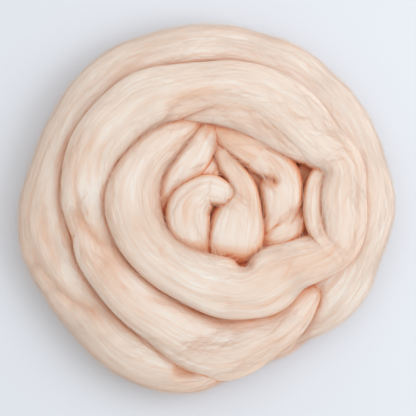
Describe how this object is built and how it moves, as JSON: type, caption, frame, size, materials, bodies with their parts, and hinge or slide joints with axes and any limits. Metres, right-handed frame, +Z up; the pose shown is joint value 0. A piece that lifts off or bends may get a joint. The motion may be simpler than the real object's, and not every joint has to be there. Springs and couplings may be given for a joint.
{
  "type": "wool roving",
  "caption": "Loose round coil of combed wool roving, soft flat bands wound into a low dome with a folded rosette in the middle.",
  "frame": {"origin": "on the table under the middle of the coil, at the bottom centre of its bounding box", "axes": "+Z up through the coil, out of its rosette; +X to the right and +Y away, seen from above with the folded hollow on the right"},
  "size_m": [0.2252, 0.224, 0.0555],
  "materials": {
    "wool": "soft combed fibre"
  },
  "bodies": {
    "root": {"roving_coil": "wool"}
  },
  "joints": []
}
